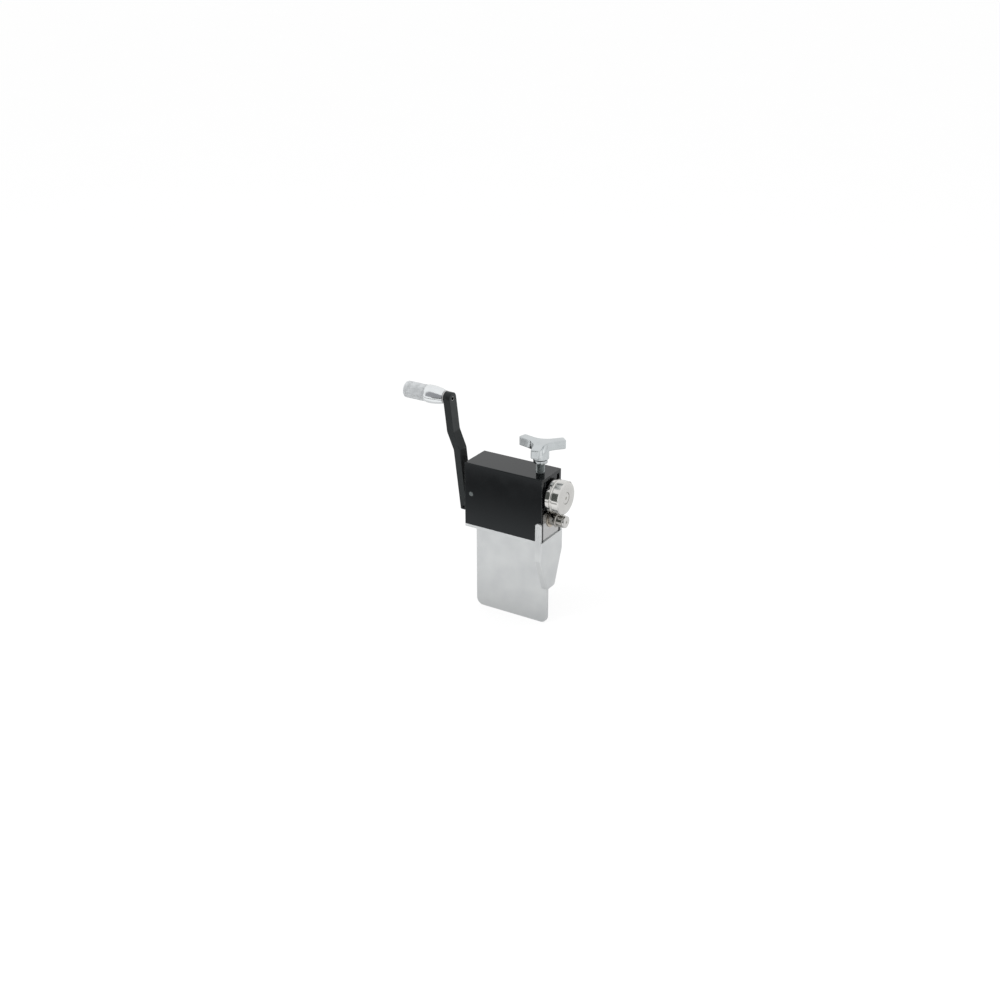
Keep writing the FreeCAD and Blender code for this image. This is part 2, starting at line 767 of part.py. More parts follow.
def make_return_springs():
    gap = spring_close_pitch - 2 * wire_radius
    print("least gap between a return spring's turns: %.2f mm" % gap)
    return Part.makeCompound([make_return_spring(y) for y in (-spring_y, spring_y)])


# Screw groups

def make_base_screws():
    screws = []
    bottom = tongue_height - base_head
    for x, y in base_screw_places():
        head = rod_z(base_head_radius, bottom, tongue_height, x, y)
        shank = rod_z(base_screw_radius, tongue_height, tongue_height + base_screw_length, x, y)
        screw = head.fuse(shank).removeSplitter()
        screws.append(screw.cut(hexagon(socket_flats, socket_depth, V(x, y, bottom), V(0, 0, 1))))
    return Part.makeCompound(screws)


def make_block_screws():
    """Button heads on the rear wall, domed by a sphere."""
    screws = []
    top = half_width + side_head
    dome_radius = (side_head_radius ** 2 + side_head ** 2) / (2 * side_head)
    for x, z in side_screw_places():
        head = rod_y(side_head_radius, half_width, top, x, z)
        head = head.common(Part.makeSphere(dome_radius, V(x, top - dome_radius, z)))
        shank = rod_y(side_screw_radius, half_width - side_screw_length, half_width, x, z)
        screw = head.fuse(shank)
        socket = hexagon(small_socket_flats, socket_depth, V(x, top, z), V(0, -1, 0))
        screws.append(screw.cut(socket))
    return Part.makeCompound(screws)


def all_pieces():
    return {
        "vise_tongue": make_vise_tongue(),
        "base_plate": make_base_plate(),
        "end_gusset": make_end_gusset(),
        "housing": make_housing(),
        "die_end_block": make_die_end_block(),
        "crank_end_block": make_crank_end_block(),
        "die_end_bushing": flanged_bushing(1),
        "crank_end_bushing": flanged_bushing(-1),
        "base_screws": make_base_screws(),
        "block_screws": make_block_screws(),
        "pivot_pin": make_pivot_pin(),
        "screw_nut": make_screw_nut(),
        "return_springs": make_return_springs(),
        "drive_shaft": make_drive_shaft(),
        "lower_die": make_lower_die(),
        "lower_die_screw": make_lower_die_screw(),
        "thrust_washer": make_thrust_washer(),
        "shaft_collar": make_shaft_collar(),
        "collar_screw": make_collar_screw(),
        "crank_arm": make_crank_arm(),
        "crank_clamp_screw": make_crank_clamp_screw(),
        "grip_spindle": make_grip_spindle(),
        "grip_washer": make_grip_washer(),
        "grip_sleeve": make_grip_sleeve(),
        "swing_arm": make_swing_arm(),
        "upper_axle": make_upper_axle(),
        "upper_die_bushing": make_upper_die_bushing(),
        "upper_die": make_upper_die(),
        "upper_die_screw": make_upper_die_screw(),
        "thrust_pad": make_thrust_pad(),
        "adjusting_screw": make_adjusting_screw(),
        "knob": make_knob(),
    }


def main():
    os.makedirs("parts", exist_ok=True)
    for node, shape in all_pieces().items():
        shape.exportStep("parts/" + node + ".step")


main()
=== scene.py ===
"""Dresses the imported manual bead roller: its finishes, its fine shapes, the stage and the camera.

Every length is in metres and lies in the part's own frame: X along the die axes towards the dies,
Y towards the back, Z up, with the origin at the middle of the tongue's bottom edge.
"""
import json
import math
from functools import cache

import bmesh
import bpy
from bpy.props import FloatProperty, FloatVectorProperty, IntProperty, PointerProperty
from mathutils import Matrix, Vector


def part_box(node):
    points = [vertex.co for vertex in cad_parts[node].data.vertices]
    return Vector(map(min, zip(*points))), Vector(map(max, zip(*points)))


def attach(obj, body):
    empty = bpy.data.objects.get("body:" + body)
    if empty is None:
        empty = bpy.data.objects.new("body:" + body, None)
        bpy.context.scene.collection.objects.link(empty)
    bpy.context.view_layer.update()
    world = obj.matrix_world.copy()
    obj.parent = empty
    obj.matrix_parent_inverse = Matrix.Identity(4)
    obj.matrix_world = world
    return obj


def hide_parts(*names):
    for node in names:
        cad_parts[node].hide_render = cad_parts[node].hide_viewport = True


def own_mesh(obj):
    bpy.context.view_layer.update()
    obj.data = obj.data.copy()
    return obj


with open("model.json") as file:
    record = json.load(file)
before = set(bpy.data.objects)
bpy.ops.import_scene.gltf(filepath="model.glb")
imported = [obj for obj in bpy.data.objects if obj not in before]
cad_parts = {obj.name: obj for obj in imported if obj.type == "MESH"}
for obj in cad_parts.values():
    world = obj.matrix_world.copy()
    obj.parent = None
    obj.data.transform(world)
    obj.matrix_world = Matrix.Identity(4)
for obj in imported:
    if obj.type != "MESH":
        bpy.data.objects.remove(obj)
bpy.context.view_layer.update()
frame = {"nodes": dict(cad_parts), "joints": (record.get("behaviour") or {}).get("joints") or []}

bl_info = {
    "name": "Bead Roller Dresser",
    "version": (1, 0, 0),
    "blender": (4, 5, 0),
    "location": "3D View > Sidebar > Bead Roller",
    "description": "Builds the finishes and fine shapes of a hand cranked bead roller",
    "category": "Object",
}

MM = 0.001
FULL_TURN = 2 * math.pi
ROUND_SEGMENTS = 128
SMOOTH_ANGLE = math.radians(38)  # a sharper edge stays sharp
THREAD_ANGLE = math.radians(80)  # the same on the thread
BEVEL_ANGLE = math.radians(32)  # a sharper edge is rounded
FLAT_ANGLE = math.radians(0.4)  # facets that turn less are one face
WELD_REACH = 0.002 * MM
HAIR = 0.01 * MM  # below it two measures are the same
LAP = 0.2 * MM  # by which the screw's tip runs into its thread
CORE = 0.2 * MM  # radius left open at the middle of a turned end


# Where the joints lie, from the frame

def joint_place(name):
    return Vector(next(joint["pos_m"] for joint in frame["joints"] if joint["name"] == name))


LOWER_AXIS = joint_place("crank_turn")
UPPER_AXIS = joint_place("upper_die_spin")
GRIP_AXIS = joint_place("grip_spin")
SCREW_AXIS = joint_place("screw_turn")

# Above the lower axis at the end of the housing, under the upper die, where shade is painted on the
# bushings and blocks
SHADE_PLACE = (UPPER_AXIS.x - 12 * MM, 0.0, LOWER_AXIS.z + 13 * MM)


# Settings that a user may change

def setting(kind, **fixed):
    """Short call for one kind of setting."""
    return lambda name, description, default: kind(name=name, description=description, default=default,
                                                   **fixed)


length = setting(FloatProperty, unit="LENGTH", precision=5)
share = setting(FloatProperty, min=0.0, max=1.0, subtype="FACTOR")
power = setting(FloatProperty, min=0.0)
angle = setting(FloatProperty, subtype="ANGLE")
place = setting(FloatVectorProperty, size=3, subtype="XYZ", unit="LENGTH")
colour = setting(FloatVectorProperty, size=3, min=0.0, max=1.0, subtype="COLOR")


class BeadRollerSizes(bpy.types.PropertyGroup):
    """Sizes of the fine shapes that are added to the solids"""
    edge_round: length("Edge round", "Radius that breaks a machined edge", 0.35 * MM)
    sheet_round: length("Sheet round", "Radius that breaks the edge of a sheet", 0.4 * MM)
    arm_round: length("Arm round", "Radius that breaks the crank arm's edges", 0.175 * MM)
    groove_width: length("Groove width", "Width of the groove in the upper die", 4.4 * MM)
    groove_depth: length("Groove depth", "Depth of the groove in the upper die", 2.2 * MM)
    ridge_width: length("Ridge width", "Width of the ridge on the lower die", 3.0 * MM)
    ridge_height: length("Ridge height", "Height of the ridge on the lower die", 1.5 * MM)
    die_chamfer: length("Die chamfer", "Chamfer on the rims of the upper die", 1.4 * MM)
    small_chamfer: length("Small chamfer", "Chamfer on the rims of the lower die", 0.4 * MM)
    thread_pitch: length("Thread pitch", "Pitch of the adjusting screw's thread", 1.75 * MM)
    thread_depth: length("Thread depth", "Depth of the adjusting screw's thread", 1.05 * MM)
    tip_share: share("Tip share", "Radius of the screw's plain tip over that of its thread", 2 / 3)
    tip_length: length("Tip length", "How far the plain tip stands over the thrust pad", 0.3 * MM)
    knurl_length: length("Knurl length", "Length of the knurled part of the grip", 34.0 * MM)
    knurl_depth: length("Knurl depth", "Depth of the knurl's grooves", 0.34 * MM)
    knurl_run_in: length("Knurl run-in", "Length over which the knurl reaches its depth", 0.8 * MM)
    knurl_count: IntProperty(name="Knurl count", description="Diamonds round the grip", default=52, min=8)
    grip_rim: length("Grip rim", "Radius of the grip's outer rim", 1.5 * MM)
    barrel_swell: length("Barrel swell", "How far the polished barrel stands over the knurl", 1.0 * MM)
    barrel_step: length("Barrel step", "Width of the step between knurl and barrel", 0.2 * MM)
    barrel_shoulder: length("Barrel shoulder", "Length of the barrel's round beside the knurl", 4.0 * MM)
    barrel_taper: length("Barrel taper", "Length of the barrel's rounded neck", 22.7 * MM)
    barrel_drop: length("Barrel drop", "How much smaller the barrel is at the crank arm", 3.3 * MM)
    grip_wall: length("Grip wall", "Wall round the well in the grip's end", 2.6 * MM)
    grip_well: length("Grip well", "Depth of the well in the grip's end", 6.4 * MM)
    grip_chamfer: length("Grip chamfer", "Chamfer at the mouths of the grip's bore and well", 0.3 * MM)
    spindle_neck: length("Spindle neck", "Radius of the spindle in the grip", 5.0 * MM)
    spindle_thread: length("Spindle thread", "Radius of the spindle's threaded end", 3.0 * MM)
    spindle_drill: length("Spindle drill", "Radius of the hole in the spindle's end", 2.3 * MM)
    spindle_head: length("Spindle head", "Height of the spindle's head", 4.5 * MM)
    wire_radius: length("Wire radius", "Radius of the return springs' wire", 0.4 * MM)
    spring_travel: length("Spring travel", "How far the swing arm presses the springs", 2.08 * MM)


class BeadRollerFinish(bpy.types.PropertyGroup):
    """Colours and gloss of the finishes"""
    sheet: colour("Bracket", "Plated steel sheet of the bracket", (0.7, 0.716, 0.716))
    sheet_roughness: share("Bracket roughness", "Roughness of the bracket's sheet", 0.46)
    gloss_black: colour("Gloss black", "Paint of the housing and swing arm", (0.0045, 0.0048, 0.0052))
    gloss_roughness: share("Gloss roughness", "Roughness of the gloss black paint", 0.11)
    satin_black: colour("Satin black", "Coating of the crank arm", (0.008, 0.0085, 0.0085))
    satin_roughness: share("Satin roughness", "Roughness of the satin black coating", 0.38)
    die_steel: colour("Die steel", "Polished steel of the dies", (0.68, 0.675, 0.655))
    # The lower die's darker tone is painted shade from the upper die above it
    shaded_lower_steel: colour("Lower die steel", "Darker, oiled steel of the lower die", (0.42, 0.41, 0.385))
    die_roughness: share("Die roughness", "Roughness of the dies' turned surfaces", 0.13)
    ground_steel: colour("Ground steel", "Shafts, washers, springs and thrust pad", (0.6, 0.6, 0.6))
    plated_steel: colour("Plated steel", "Nut of the adjusting screw and base screws", (0.66, 0.68, 0.69))
    stud_steel: colour("Stud steel", "Oiled steel of the adjusting screw", (0.27, 0.295, 0.295))
    pin_steel: colour("Pin steel", "Darker steel of the pivot pin", (0.2, 0.218, 0.218))
    dark_steel: colour("Dark steel", "Oiled black screws and shaft collar", (0.035, 0.035, 0.037))
    aluminium: colour("Aluminium", "Machined bearing blocks", (0.54, 0.545, 0.543))
    bronze: colour("Bronze", "Polished bronze bushings", (0.6, 0.56, 0.5))
    knob: colour("Knob", "Bright cast knob", (0.56, 0.59, 0.6))
    grip: colour("Grip", "Bright turned grip", (0.795, 0.818, 0.83))


class BeadRollerStage(bpy.types.PropertyGroup):
    """Camera, floor and light"""
    camera_place: place("Camera", "Where the camera stands", (0.90238, -1.49360, 0.95237))
    camera_turn: angle("Camera turn", "Turn of the camera about Z", math.radians(31.7))
    camera_tilt: angle("Camera tilt", "How far the camera looks down", math.radians(24.03))
    focal: FloatProperty(name="Focal length", description="Of the camera's lens on 36 mm", default=50.4,
                         subtype="DISTANCE_CAMERA")
    key_place: place("Key light", "Where the key light stands", (-0.9, -1.3, 1.9))
    key_power: power("Key power", "Power of the key light, in watts", 14.0)
    fill_place: place("Fill light", "Where the fill light stands", (1.6, -0.7, 1.1))
    fill_power: power("Fill power", "Power of the fill light, in watts", 8.0)
    sky: power("Sky", "Even light from all round", 0.95)
    floor_radius: length("Floor radius", "Radius of the round floor", 60.0)
    floor: colour("Floor", "Pale floor", (0.9, 0.9, 0.9))
    floor_white: power("Floor white", "Glow of the floor, as the camera sees it", 1.05)
    floor_glow: share("Floor glow", "Share of that glow in the floor's look, the rest is its shadow", 0.7)
    floor_gloss: power("Floor in gloss", "Brightest band of the floor, as gloss reflects it", 1.25)
    floor_behind: share("Floor behind", "Share of that light behind the part", 0.63)
    floor_near: share("Floor near", "Share of that light right under the part", 0.45)
    floor_bright: share("Floor bright", "Share of that light in the bright band before the part", 0.94)
    floor_dim: share("Floor dim", "Share of that light in the dim band further out", 0.0)
    floor_far: share("Floor far", "Share of that light beyond the dim band", 0.9)
    dark_card: colour("Dark card", "Card that the dies reflect", (0.1, 0.107, 0.1))
    pale_card: colour("Pale card", "Card that the grip reflects", (0.335, 0.335, 0.35))
    white_card: colour("White card", "Card that the knob's hub reflects", (1.0, 1.0, 1.0))
    card_distance: length("Card distance", "From the part to the dark card", 0.52)
    near_distance: length("Near distance", "From the part to the pale card", 0.2)
    side_distance: length("Side distance", "From the part to the white card", 0.3)


def sizes():
    return bpy.context.scene.bead_roller_sizes


def finish():
    return bpy.context.scene.bead_roller_finish


def stage():
    return bpy.context.scene.bead_roller_stage


# Material building

def add_node(tree, kind, inputs=None, **settings):
    """New shader node, with its settings and the values of its input sockets."""
    made = tree.nodes.new("ShaderNode" + kind)
    for name, value in settings.items():
        setattr(made, name, value)
    for socket, value in (inputs or {}).items():
        made.inputs[socket].default_value = value
    return made


class Paint:
    """One material's nodes, with short calls for the fields that vary a finish."""

    def __init__(self, name, base, roughness, metallic=1.0):
        self.material = bpy.data.materials.new(name)
        self.material.use_nodes = True
        self.tree = self.material.node_tree
        self.shader = self.tree.nodes["Principled BSDF"]
        self.base = (*base, 1.0)
        self.shader.inputs["Base Color"].default_value = self.base
        self.shader.inputs["Metallic"].default_value = metallic
        self.shader.inputs["Roughness"].default_value = roughness
        self.roughness = roughness
        self.place = self.node("TexCoord").outputs["Object"]
        self.bump = None

    def node(self, kind, inputs=None, **settings):
        return add_node(self.tree, kind, inputs, **settings)

    def link(self, start, end):
        self.tree.links.new(start, end)

    def maths(self, operation, first, second):
        made = self.node("Math", operation=operation)
        for socket, value in zip(made.inputs, (first, second)):
            if isinstance(value, (int, float)):
                socket.default_value = value
            else:
                self.link(value, socket)
        return made.outputs[0]

    def vector(self, operation, field, constant):
        """Vector maths of a field and a constant."""
        made = self.node("VectorMath", {1: constant}, operation=operation)
        self.link(field, made.inputs[0])
        return made.outputs[0]

    def ramp(self, field, start, end, low, high):
        """A field's range from start to end, mapped to low to high."""
        made = self.node("MapRange", {"From Min": start, "From Max": end, "To Min": low, "To Max": high})
        self.link(field, made.inputs["Value"])
        return made.outputs[0]

    def spread(self, field, low, high):
        """A noise field's usual range, 0.3 to 0.7, mapped to low to high."""
        return self.ramp(field, 0.3, 0.7, low, high)

    def grain(self, scale, stretch=(1, 1, 1), detail=3.0):
        """Noise in the part's frame; scale is in cells per metre, stretched by an axis factor."""
        mapping = self.node("Mapping", {"Scale": [scale * s for s in stretch]})
        self.link(self.place, mapping.inputs["Vector"])
        field = self.node("TexNoise", {"Scale": 1.0, "Detail": detail})
        self.link(mapping.outputs[0], field.inputs["Vector"])
        return field.outputs["Fac"]

    def rings(self, centre, scale):
        """Turning marks about the X line through a centre: rings on faces and round the rim."""
        split = self.node("SeparateXYZ")
        self.link(self.vector("SUBTRACT", self.place, centre), split.inputs[0])
        squares = [self.maths("MULTIPLY", split.outputs[a], split.outputs[a]) for a in ("Y", "Z")]
        radius = self.maths("SQRT", self.maths("ADD", *squares), 0.0)
        field = self.node("TexNoise", {"Scale": scale, "Detail": 4.0}, noise_dimensions="1D")
        self.link(self.maths("ADD", radius, split.outputs["X"]), field.inputs["W"])
        return field.outputs["Fac"]

    def cells(self, scale):
        field = self.node("TexVoronoi", {"Scale": scale})
        self.link(self.place, field.inputs["Vector"])
        return field.outputs["Distance"]

    def specular(self, level, tint):
        self.shader.inputs["Specular IOR Level"].default_value = level
        self.shader.inputs["Specular Tint"].default_value = (*tint, 1.0)
        return self

    def vary_roughness(self, field, amount):
        rough = self.spread(field, self.roughness - amount, self.roughness + amount)
        self.link(rough, self.shader.inputs["Roughness"])
        return self

    def layer(self, factor, tone):
        """Mix the base colour so far with a tone, by a factor field."""
        mix = self.node("Mix", data_type="RGBA", blend_type="MIX")
        under = self.shader.inputs["Base Color"]
        if under.is_linked:
            self.link(under.links[0].from_socket, mix.inputs["A"])
        else:
            mix.inputs["A"].default_value = self.base
        mix.inputs["B"].default_value = (*tone, 1.0)
        self.link(factor, mix.inputs["Factor"])
        self.link(mix.outputs["Result"], under)
        return self

    def vary_colour(self, field, darker, tone=(1.0, 1.0, 1.0)):
        """Shade the base colour by a field, down to a darker share and towards a tone."""
        return self.layer(self.spread(field, 0.0, 1.0), [c * darker * t for c, t in zip(self.base, tone)])

    def painted_edge_highlight(self, radius, tone, amount):
        """Painted highlight: a lighter tone where an edge turns, broken up by noise."""
        turned = self.node("Bevel", {"Radius": radius}, samples=6)
        straight = self.node("NewGeometry")
        both = self.node("VectorMath", operation="DOT_PRODUCT")
        self.link(turned.outputs[0], both.inputs[0])
        self.link(straight.outputs["Normal"], both.inputs[1])
        edge = self.maths("SUBTRACT", 1.0, both.outputs["Value"])
        highlight_share = self.maths("MULTIPLY", edge, self.spread(self.grain(700), -0.5, 5.0))
        limit = self.node("Clamp", {"Max": amount})
        self.link(highlight_share, limit.inputs["Value"])
        return self.layer(limit.outputs[0], tone)

    def painted_shade_under_die(self, near, far, tone):
        """Painted shade: darken round the shaded place under the upper die, fully within near and not
        beyond far.
        """
        squeeze = (1.0, 0.5, 1.0)
        reach = self.node("VectorMath", operation="LENGTH")
        offset = self.vector("SUBTRACT", self.place, SHADE_PLACE)
        self.link(self.vector("MULTIPLY", offset, squeeze), reach.inputs[0])
        fade = self.ramp(reach.outputs["Value"], near, far, 1.0, 0.0)
        return self.layer(self.maths("MULTIPLY", fade, self.spread(self.grain(500), 0.75, 1.0)), tone)

    def relief(self, field, depth, strength=1.0):
        """Bump of a real depth in metres; calls stack."""
        made = self.node("Bump", {"Distance": depth, "Strength": strength})
        self.link(field, made.inputs["Height"])
        if self.bump is not None:
            self.link(self.bump, made.inputs["Normal"])
        self.bump = made.outputs[0]
        self.link(self.bump, self.shader.inputs["Normal"])
        return self


@cache
def satin_sheet():
    """Plated steel sheet with a faint rolling grain along X and a painted highlight along its edges."""
    paint = Paint("satin_sheet", finish().sheet, finish().sheet_roughness)
    cloud = paint.grain(34, detail=2.0)
    paint.vary_roughness(cloud, 0.05).vary_colour(cloud, 0.93, (1.0, 1.0, 1.01))
    paint.relief(paint.grain(260, (0.12, 6, 6)), 0.012 * MM).relief(paint.grain(1500), 0.006 * MM)
    # Painted highlight along the sheet's edges
    paint.painted_edge_highlight(0.9 * MM, (0.92, 0.93, 0.93), 0.8)
    return paint.material


@cache
def gloss_black():
    """Gloss paint with a fine orange peel."""
    paint = Paint("gloss_black", finish().gloss_black, finish().gloss_roughness, metallic=0.0)
    paint.specular(0.28, (0.88, 0.96, 1.0))
    paint.vary_roughness(paint.grain(60), 0.035).vary_colour(paint.grain(900), 0.75)
    paint.relief(paint.grain(420, detail=1.0), 0.02 * MM, 0.5)
    # Painted highlight along the gloss paint's edges
    paint.painted_edge_highlight(0.9 * MM, (0.2, 0.205, 0.21), 0.8)
    return paint.material


@cache
def satin_black():
    """Baked coating of the crank arm, a little grainy."""
    paint = Paint("satin_black", finish().satin_black, finish().satin_roughness, metallic=0.0)
    paint.specular(0.3, (0.86, 0.97, 1.0))
    paint.vary_roughness(paint.grain(110), 0.05).vary_colour(paint.grain(700), 0.7)
    paint.relief(paint.grain(1100, detail=2.0), 0.018 * MM, 0.6)
    # Painted highlight along the coating's edges
    paint.painted_edge_highlight(0.8 * MM, (0.16, 0.165, 0.165), 0.7)
    return paint.material


def turned_metal(name, base, roughness, axis, ring_scale=2600, depth=0.006 * MM):
    """Lathe-turned metal: fine rings about the X line through an axis point."""
    paint = Paint(name, base, roughness)
    marks = paint.rings(axis, ring_scale)
    paint.vary_roughness(marks, roughness * 0.35).vary_colour(paint.grain(70, detail=2.0), 0.92)
    paint.relief(marks, depth)
    return paint.material


@cache
def die_metal(piece):
    """Polished dies and their caps; the lower die's steel is darker than its cap's, as painted shade."""
    axis = UPPER_AXIS if piece == "upper" else LOWER_AXIS
    # The lower die gets the darker steel: painted shade
    base = finish().shaded_lower_steel if piece == "lower" else finish().die_steel
    return turned_metal("die_steel_" + piece, base, finish().die_roughness, axis)


@cache
def shaft_metal(piece):
    """Ground steel of the shafts, the grip's spindle and the washers."""
    axis = {"lower": LOWER_AXIS, "upper": UPPER_AXIS, "grip": GRIP_AXIS}[piece]
    return turned_metal("ground_steel_" + piece, finish().ground_steel, roughness=0.3, axis=axis)


@cache
def grip_metal():
    """The grip's polished barrel, with finer marks than the dies."""
    return turned_metal("grip_steel", finish().grip, roughness=0.17, axis=GRIP_AXIS, ring_scale=2200,
                        depth=0.004 * MM)


@cache
def knurled_metal():
    """The grip's knurled part: duller, with grime in its grooves."""
    shade = 0.94
    paint = Paint("grip_steel_knurled", [c * shade for c in finish().grip], roughness=0.34)
    grime = paint.grain(420)
    paint.vary_roughness(grime, 0.06).vary_colour(grime, 0.9)
    paint.relief(paint.grain(2600), 0.01 * MM)
    return paint.material


@cache
def oiled_metal(piece):
    """Oiled machined steel of the stud and the pin, darker than the plated pieces."""
    base = {"stud": finish().stud_steel, "pin": finish().pin_steel}[piece]
    paint = Paint("oiled_steel_" + piece, base, roughness=0.24)
    cloud = paint.grain(300)
    paint.vary_roughness(cloud, 0.08).vary_colour(cloud, 0.8, (0.98, 1.0, 1.0))
    paint.relief(paint.grain(2200), 0.006 * MM)
    return paint.material


@cache
def bronze_metal(piece):
    """Bearing bronze: turned bright, with fine pores and painted shade under the upper die."""
    axis = {"lower": LOWER_AXIS, "upper": UPPER_AXIS}[piece]
    paint = Paint("bronze_" + piece, finish().bronze, roughness=0.22)
    paint.vary_roughness(paint.rings(axis, 2000), 0.06)
    paint.vary_colour(paint.cells(1600), 0.7, (1.0, 0.94, 0.85))
    paint.relief(paint.cells(1600), 0.02 * MM, 0.5)
    # Painted shade under the upper die, darkening the bushing's face there
    paint.painted_shade_under_die(9 * MM, 13 * MM, (0.07, 0.065, 0.055))
    return paint.material


@cache
def milled_aluminium():
    """Milled blocks: fine cutter lines along Z over a soft cloud, and painted shade below the upper die.
    """
    paint = Paint("milled_aluminium", finish().aluminium, roughness=0.2)
    cutter = paint.grain(320, (6, 6, 0.15))
    paint.vary_roughness(cutter, 0.05).vary_colour(paint.grain(90), 0.9)
    paint.relief(cutter, 0.01 * MM)
    # Painted shade under the upper die, darkening the block's face there
    paint.painted_shade_under_die(8 * MM, 13 * MM, (0.2, 0.2, 0.19))
    return paint.material


@cache
def plated_screw():
    """Bright zinc plate, slightly clouded."""
    paint = Paint("plated_screw", finish().plated_steel, roughness=0.25)
    cloud = paint.grain(260)
    paint.vary_roughness(cloud, 0.07).vary_colour(cloud, 0.82, (0.99, 1.0, 1.02))
    paint.relief(paint.grain(2400), 0.008 * MM)
    return paint.material


@cache
def dark_screw_and_hole_shade():
    """Oiled black steel of the shaft collar and the small screws; it also paints shade inside the grip
    spindle's drilled hole.
    """
    paint = Paint("dark_screw_and_hole_shade", finish().dark_steel, roughness=0.33)
    cloud = paint.grain(500)
    paint.vary_roughness(cloud, 0.08).vary_colour(cloud, 0.6)
    paint.relief(paint.grain(2600), 0.01 * MM)
    return paint.material


@cache
def spring_wire():
    """Drawn wire of the springs; the hardened thrust pad has the same grey."""
    paint = Paint("spring_wire", finish().ground_steel, roughness=0.32)
    drawn = paint.grain(900, (1, 1, 4))
    paint.vary_roughness(drawn, 0.08).vary_colour(drawn, 0.75)
    paint.relief(drawn, 0.006 * MM)
    return paint.material


@cache
def cast_knob():
    """Plated casting: bright, with a faint skin and small dull clouds."""
    paint = Paint("cast_knob", finish().knob, roughness=0.17)
    cloud = paint.grain(75, detail=2.0)
    paint.vary_roughness(cloud, 0.05).vary_colour(cloud, 0.93)
    paint.relief(paint.grain(420, detail=1.0), 0.012 * MM, 0.5).relief(cloud, 0.06 * MM, 0.35)
    return paint.material


# Mesh building

def around_x(axis, x, radius, turn):
    """Point on a circle about the X line through an axis point, at a share of a turn."""
    return x, axis.y + radius * math.cos(FULL_TURN * turn), axis.z + radius * math.sin(FULL_TURN * turn)


def around_z(axis, z, radius, turn):
    """Point on a circle about the Z line through an axis point, at a share of a turn."""
    return axis.x + radius * math.cos(FULL_TURN * turn), axis.y + radius * math.sin(FULL_TURN * turn), z


def quarter_turn(steps):
    """Angles from nought to a right angle."""
    return [math.pi / 2 * i / steps for i in range(steps + 1)]


def ring(made, points):
    return [made.verts.new(point) for point in points]


def skin(made, rings):
    """Join rings of as many points into a band of quads."""
    for first, second in zip(rings, rings[1:]):
        for i in range(len(first)):
            j = (i + 1) % len(first)
            made.faces.new((first[i], first[j], second[j], second[i]))


def to_mesh(name, made):
    bmesh.ops.recalc_face_normals(made, faces=made.faces)
    mesh = bpy.data.meshes.new(name)
    made.to_mesh(mesh)
    made.free()
    return mesh


def closed_rod(name, made, rings):
    """Skin a row of rings and close both ends."""
    skin(made, rings)
    made.faces.new(rings[0])
    made.faces.new(rings[-1])
    return to_mesh(name, made)


def turned_mesh(name, outline, axis, segments=ROUND_SEGMENTS):
    """Closed (x, r) outline turned about the X line through an axis point."""
    made = bmesh.new()
    rings = [ring(made, [around_x(axis, x, radius, i / segments) for i in range(segments)])
             for x, radius in outline]
    skin(made, rings + rings[:1])
    return to_mesh(name, made)


def round_corners(points, radius, steps=4):
    """Open run of points with its inner corners turned into small arcs."""
    made = [Vector(points[0])]
    for before, corner, after in zip(points, points[1:], points[2:]):
        before, corner, after = Vector(before), Vector(corner), Vector(after)
        reach = min(radius, (before - corner).length * 0.45, (after - corner).length * 0.45)
        start = corner + (before - corner).normalized() * reach
        end = corner + (after - corner).normalized() * reach
        for i in range(steps + 1):
            t = i / steps
            made.append(start * (1 - t) ** 2 + corner * 2 * t * (1 - t) + end * t ** 2)
    made.append(Vector(points[-1]))
    return made


def inner_radius(node, axis):
    """Radius of a turned solid's bore."""
    return min((v.co - axis).yz.length for v in frame["nodes"][node].data.vertices)


def add_object(name, data):
    made = bpy.data.objects.new(name, data)
    bpy.context.scene.collection.objects.link(made)
    return made


def new_piece(name, mesh, body, material, replaced=()):
    """Make an object of a mesh that lies in the part's frame, and tie it to its body."""
    piece = add_object(name, mesh)
    mesh.materials.append(material)
    mesh.shade_smooth()
    mesh.set_sharp_from_angle(angle=SMOOTH_ANGLE)
    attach(piece, body)
    if replaced:
        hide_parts(*replaced)
    return piece


def ease_edges(piece, width):
    """Give a solid its finish-ground edges, with modifiers only."""
    weld = piece.modifiers.new("weld", "WELD")
    weld.merge_threshold = WELD_REACH
    flat = piece.modifiers.new("flat", "DECIMATE")
    flat.decimate_type = "DISSOLVE"
    flat.angle_limit = FLAT_ANGLE
    bevel = piece.modifiers.new("edge", "BEVEL")
    bevel.width = width
    bevel.segments = 2
    bevel.limit_method = "ANGLE"
    bevel.angle_limit = BEVEL_ANGLE
    bevel.harden_normals = True


def dress(node, material, edge=None):
    """Finish a solid and break its edges, by the usual radius or a given one; 0 leaves them sharp."""
    piece = frame["nodes"][node]
    piece.data.materials.clear()
    piece.data.materials.append(material)
    if edge != 0:
        ease_edges(piece, edge or sizes().edge_round)


# Operators, one for each piece or group of like pieces

class BEADROLLER_OT_bracket(bpy.types.Operator):
    """Finish the tongue, base plate and end gusset"""
    bl_idname = "beadroller.bracket"
    bl_label = "Bracket"

    def execute(self, context):
        for node in ("vise_tongue", "base_plate", "end_gusset"):
            dress(node, satin_sheet(), edge=sizes().sheet_round)
        return {"FINISHED"}


class BEADROLLER_OT_housing(bpy.types.Operator):
    """Finish the housing in gloss black"""
    bl_idname = "beadroller.housing"
    bl_label = "Housing"

    def execute(self, context):
        dress("housing", gloss_black())
        return {"FINISHED"}


class BEADROLLER_OT_bearings(bpy.types.Operator):
    """Finish the bearing blocks and their bushings"""
    bl_idname = "beadroller.bearings"
    bl_label = "Bearings"

    def execute(self, context):
        for end in ("die_end", "crank_end"):
            dress(end + "_block", milled_aluminium())
            dress(end + "_bushing", bronze_metal("lower"))
        return {"FINISHED"}


